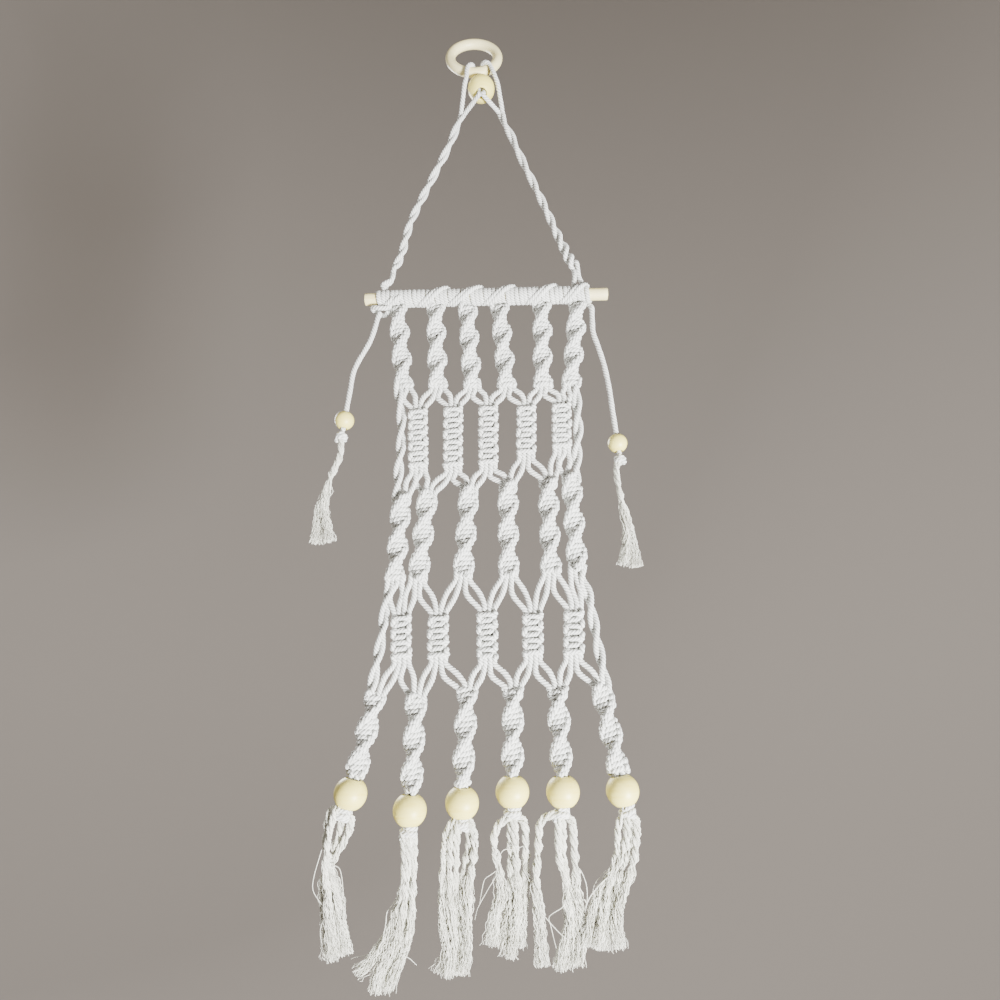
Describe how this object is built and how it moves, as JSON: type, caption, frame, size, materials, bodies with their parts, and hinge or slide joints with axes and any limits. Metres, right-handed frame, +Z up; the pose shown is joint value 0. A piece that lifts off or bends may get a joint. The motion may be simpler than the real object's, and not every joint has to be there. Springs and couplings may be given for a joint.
{
  "type": "macrame wall hanging",
  "caption": "Knotted cotton wall hanging: ring, bead and two-legged hanger carry a wrapped dowel, with a net of spiral and square-knot sinnets that ends in wooden beads and frayed tassels.",
  "frame": {"origin": "inside top of the ring, where a hook holds the hanging", "axes": "+Z up along the hanging's length, -Y out of its front, +X to the viewer's right"},
  "size_m": [0.2385, 0.0304, 0.7291],
  "materials": {
    "cotton_cord": "matt three-ply twisted cotton",
    "cotton_fringe": "matt unravelled cotton threads",
    "ring_wood": "smooth turned pale wood",
    "bead_wood": "smooth turned pale wood, satin",
    "dowel_wood": "sanded pale wood"
  },
  "bodies": {
    "support": {"ring": "ring_wood"},
    "hanger": {"hanger_cord_left": "cotton_cord", "hanger_cord_right": "cotton_cord", "top_bead": "bead_wood"},
    "bar": {"dowel": "dowel_wood", "dowel_wrap": "cotton_cord", "spiral_1_1": "cotton_cord", "spiral_1_2": "cotton_cord", "spiral_1_3": "cotton_cord", "spiral_1_4": "cotton_cord", "spiral_1_5": "cotton_cord", "spiral_1_6": "cotton_cord"},
    "row_2": {"square_2_1": "cotton_cord", "square_2_2": "cotton_cord", "square_2_3": "cotton_cord", "square_2_4": "cotton_cord", "square_2_5": "cotton_cord", "edge_pair_2_left": "cotton_cord", "edge_pair_2_right": "cotton_cord"},
    "row_3": {"spiral_3_1": "cotton_cord", "spiral_3_2": "cotton_cord", "spiral_3_3": "cotton_cord", "spiral_3_4": "cotton_cord", "spiral_3_5": "cotton_cord", "spiral_3_6": "cotton_cord"},
    "row_4": {"square_4_1": "cotton_cord", "square_4_2": "cotton_cord", "square_4_3": "cotton_cord", "square_4_4": "cotton_cord", "square_4_5": "cotton_cord", "edge_pair_4_left": "cotton_cord", "edge_pair_4_right": "cotton_cord"},
    "strand_1": {"spiral_5_1": "cotton_cord"},
    "bead_1": {"bead_1": "bead_wood"},
    "tassel_1": {"tassel_1": "cotton_fringe"},
    "strand_2": {"spiral_5_2": "cotton_cord"},
    "bead_2": {"bead_2": "bead_wood"},
    "tassel_2": {"tassel_2": "cotton_fringe"},
    "strand_3": {"spiral_5_3": "cotton_cord"},
    "bead_3": {"bead_3": "bead_wood"},
    "tassel_3": {"tassel_3": "cotton_fringe"},
    "strand_4": {"spiral_5_4": "cotton_cord"},
    "bead_4": {"bead_4": "bead_wood"},
    "tassel_4": {"tassel_4": "cotton_fringe"},
    "strand_5": {"spiral_5_5": "cotton_cord"},
    "bead_5": {"bead_5": "bead_wood"},
    "tassel_5": {"tassel_5": "cotton_fringe"},
    "strand_6": {"spiral_5_6": "cotton_cord"},
    "bead_6": {"bead_6": "bead_wood"},
    "tassel_6": {"tassel_6": "cotton_fringe"},
    "side_strand_left": {"side_cord_left": "cotton_cord"},
    "side_bead_left": {"side_bead_left": "bead_wood"},
    "side_tassel_left": {"side_tassel_left": "cotton_fringe"},
    "side_strand_right": {"side_cord_right": "cotton_cord"},
    "side_bead_right": {"side_bead_right": "bead_wood"},
    "side_tassel_right": {"side_tassel_right": "cotton_fringe"}
  },
  "joints": [
    {"name": "hanger_swing", "type": "hinge", "parent": "support", "child": "hanger", "pos_m": [0.005, -0.0082, -0.033], "axis": [1, 0, 0], "range_deg": [-35, 35]},
    {"name": "bar_swing", "type": "hinge", "parent": "hanger", "child": "bar", "pos_m": [0.0115, 0, -0.2398], "axis": [0.9997, 0, 0.0262], "range_deg": [-60, 60]},
    {"name": "fold_below_row_1", "type": "hinge", "parent": "bar", "child": "row_2", "pos_m": [0.012, 0, -0.3165], "axis": [1, 0, 0], "range_deg": [-40, 40]},
    {"name": "fold_above_row_3", "type": "hinge", "parent": "row_2", "child": "row_3", "pos_m": [0.005, 0, -0.394], "axis": [0.9928, 0, 0.1201], "range_deg": [-40, 40]},
    {"name": "fold_below_row_3", "type": "hinge", "parent": "row_3", "child": "row_4", "pos_m": [0.005, 0, -0.4615], "axis": [0.9985, 0, 0.0541], "range_deg": [-40, 40]},
    {"name": "strand_1_swing", "type": "hinge", "parent": "row_4", "child": "strand_1", "pos_m": [-0.063, 0, -0.5405], "axis": [1, 0, 0], "range_deg": [-40, 40]},
    {"name": "bead_1_spin", "type": "hinge", "parent": "strand_1", "child": "bead_1", "pos_m": [-0.07698, 0, -0.60563], "axis": [-0.2179, 0, -0.976], "continuous": true},
    {"name": "tassel_1_swing", "type": "hinge", "parent": "strand_1", "child": "tassel_1", "pos_m": [-0.08053, 0, -0.62149], "axis": [1, 0, 0], "range_deg": [-40, 40]},
    {"name": "strand_2_swing", "type": "hinge", "parent": "row_4", "child": "strand_2", "pos_m": [-0.035, 0, -0.542], "axis": [1, 0, 0], "range_deg": [-40, 40]},
    {"name": "bead_2_spin", "type": "hinge", "parent": "strand_2", "child": "bead_2", "pos_m": [-0.03738, 0, -0.61589], "axis": [-0.0333, 0, -0.9994], "continuous": true},
    {"name": "tassel_2_swing", "type": "hinge", "parent": "strand_2", "child": "tassel_2", "pos_m": [-0.03792, 0, -0.63213], "axis": [1, 0, 0], "range_deg": [-40, 40]},
    {"name": "strand_3_swing", "type": "hinge", "parent": "row_4", "child": "strand_3", "pos_m": [-0.0005, 0, -0.5385], "axis": [1, 0, 0], "range_deg": [-40, 40]},
    {"name": "bead_3_spin", "type": "hinge", "parent": "strand_3", "child": "bead_3", "pos_m": [-0.00289, 0, -0.61139], "axis": [-0.0339, 0, -0.9994], "continuous": true},
    {"name": "tassel_3_swing", "type": "hinge", "parent": "strand_3", "child": "tassel_3", "pos_m": [-0.00344, 0, -0.62763], "axis": [1, 0, 0], "range_deg": [-40, 40]},
    {"name": "strand_4_swing", "type": "hinge", "parent": "row_4", "child": "strand_4", "pos_m": [0.031, 0, -0.537], "axis": [1, 0, 0], "range_deg": [-40, 40]},
    {"name": "bead_4_spin", "type": "hinge", "parent": "strand_4", "child": "bead_4", "pos_m": [0.03039, 0, -0.6044], "axis": [-0.0093, 0, -1], "continuous": true},
    {"name": "tassel_4_swing", "type": "hinge", "parent": "strand_4", "child": "tassel_4", "pos_m": [0.03024, 0, -0.62065], "axis": [1, 0, 0], "range_deg": [-40, 40]},
    {"name": "strand_5_swing", "type": "hinge", "parent": "row_4", "child": "strand_5", "pos_m": [0.0615, 0, -0.537], "axis": [1, 0, 0], "range_deg": [-40, 40]},
    {"name": "bead_5_spin", "type": "hinge", "parent": "strand_5", "child": "bead_5", "pos_m": [0.06393, 0, -0.60439], "axis": [0.0374, 0, -0.9993], "continuous": true},
    {"name": "tassel_5_swing", "type": "hinge", "parent": "strand_5", "child": "tassel_5", "pos_m": [0.06453, 0, -0.62063], "axis": [1, 0, 0], "range_deg": [-40, 40]},
    {"name": "strand_6_swing", "type": "hinge", "parent": "row_4", "child": "strand_6", "pos_m": [0.0915, 0, -0.534], "axis": [1, 0, 0], "range_deg": [-40, 40]},
    {"name": "bead_6_spin", "type": "hinge", "parent": "strand_6", "child": "bead_6", "pos_m": [0.1035, 0, -0.60372], "axis": [0.1758, 0, -0.9844], "continuous": true},
    {"name": "tassel_6_swing", "type": "hinge", "parent": "strand_6", "child": "tassel_6", "pos_m": [0.10636, 0, -0.61972], "axis": [1, 0, 0], "range_deg": [-40, 40]},
    {"name": "side_strand_left_swing", "type": "hinge", "parent": "bar", "child": "side_strand_left", "pos_m": [-0.0715, 0, -0.252], "axis": [0, 1, 0], "range_deg": [-8, 45]},
    {"name": "side_bead_left_spin", "type": "hinge", "parent": "side_strand_left", "child": "side_bead_left", "pos_m": [-0.09454, 0, -0.34286], "axis": [-0.1168, 0, -0.9932], "continuous": true},
    {"name": "side_tassel_left_swing", "type": "hinge", "parent": "side_strand_left", "child": "side_tassel_left", "pos_m": [-0.09608, 0, -0.35597], "axis": [0, 1, 0], "range_deg": [-25, 40]},
    {"name": "side_strand_right_swing", "type": "hinge", "parent": "bar", "child": "side_strand_right", "pos_m": [0.094, 0, -0.247], "axis": [0, 1, 0], "range_deg": [-45, 5]},
    {"name": "side_bead_right_spin", "type": "hinge", "parent": "side_strand_right", "child": "side_bead_right", "pos_m": [0.10968, 0, -0.36084], "axis": [0.0995, 0, -0.995], "continuous": true},
    {"name": "side_tassel_right_swing", "type": "hinge", "parent": "side_strand_right", "child": "side_tassel_right", "pos_m": [0.111, 0, -0.37398], "axis": [0, 1, 0], "range_deg": [-40, 12]}
  ]
}
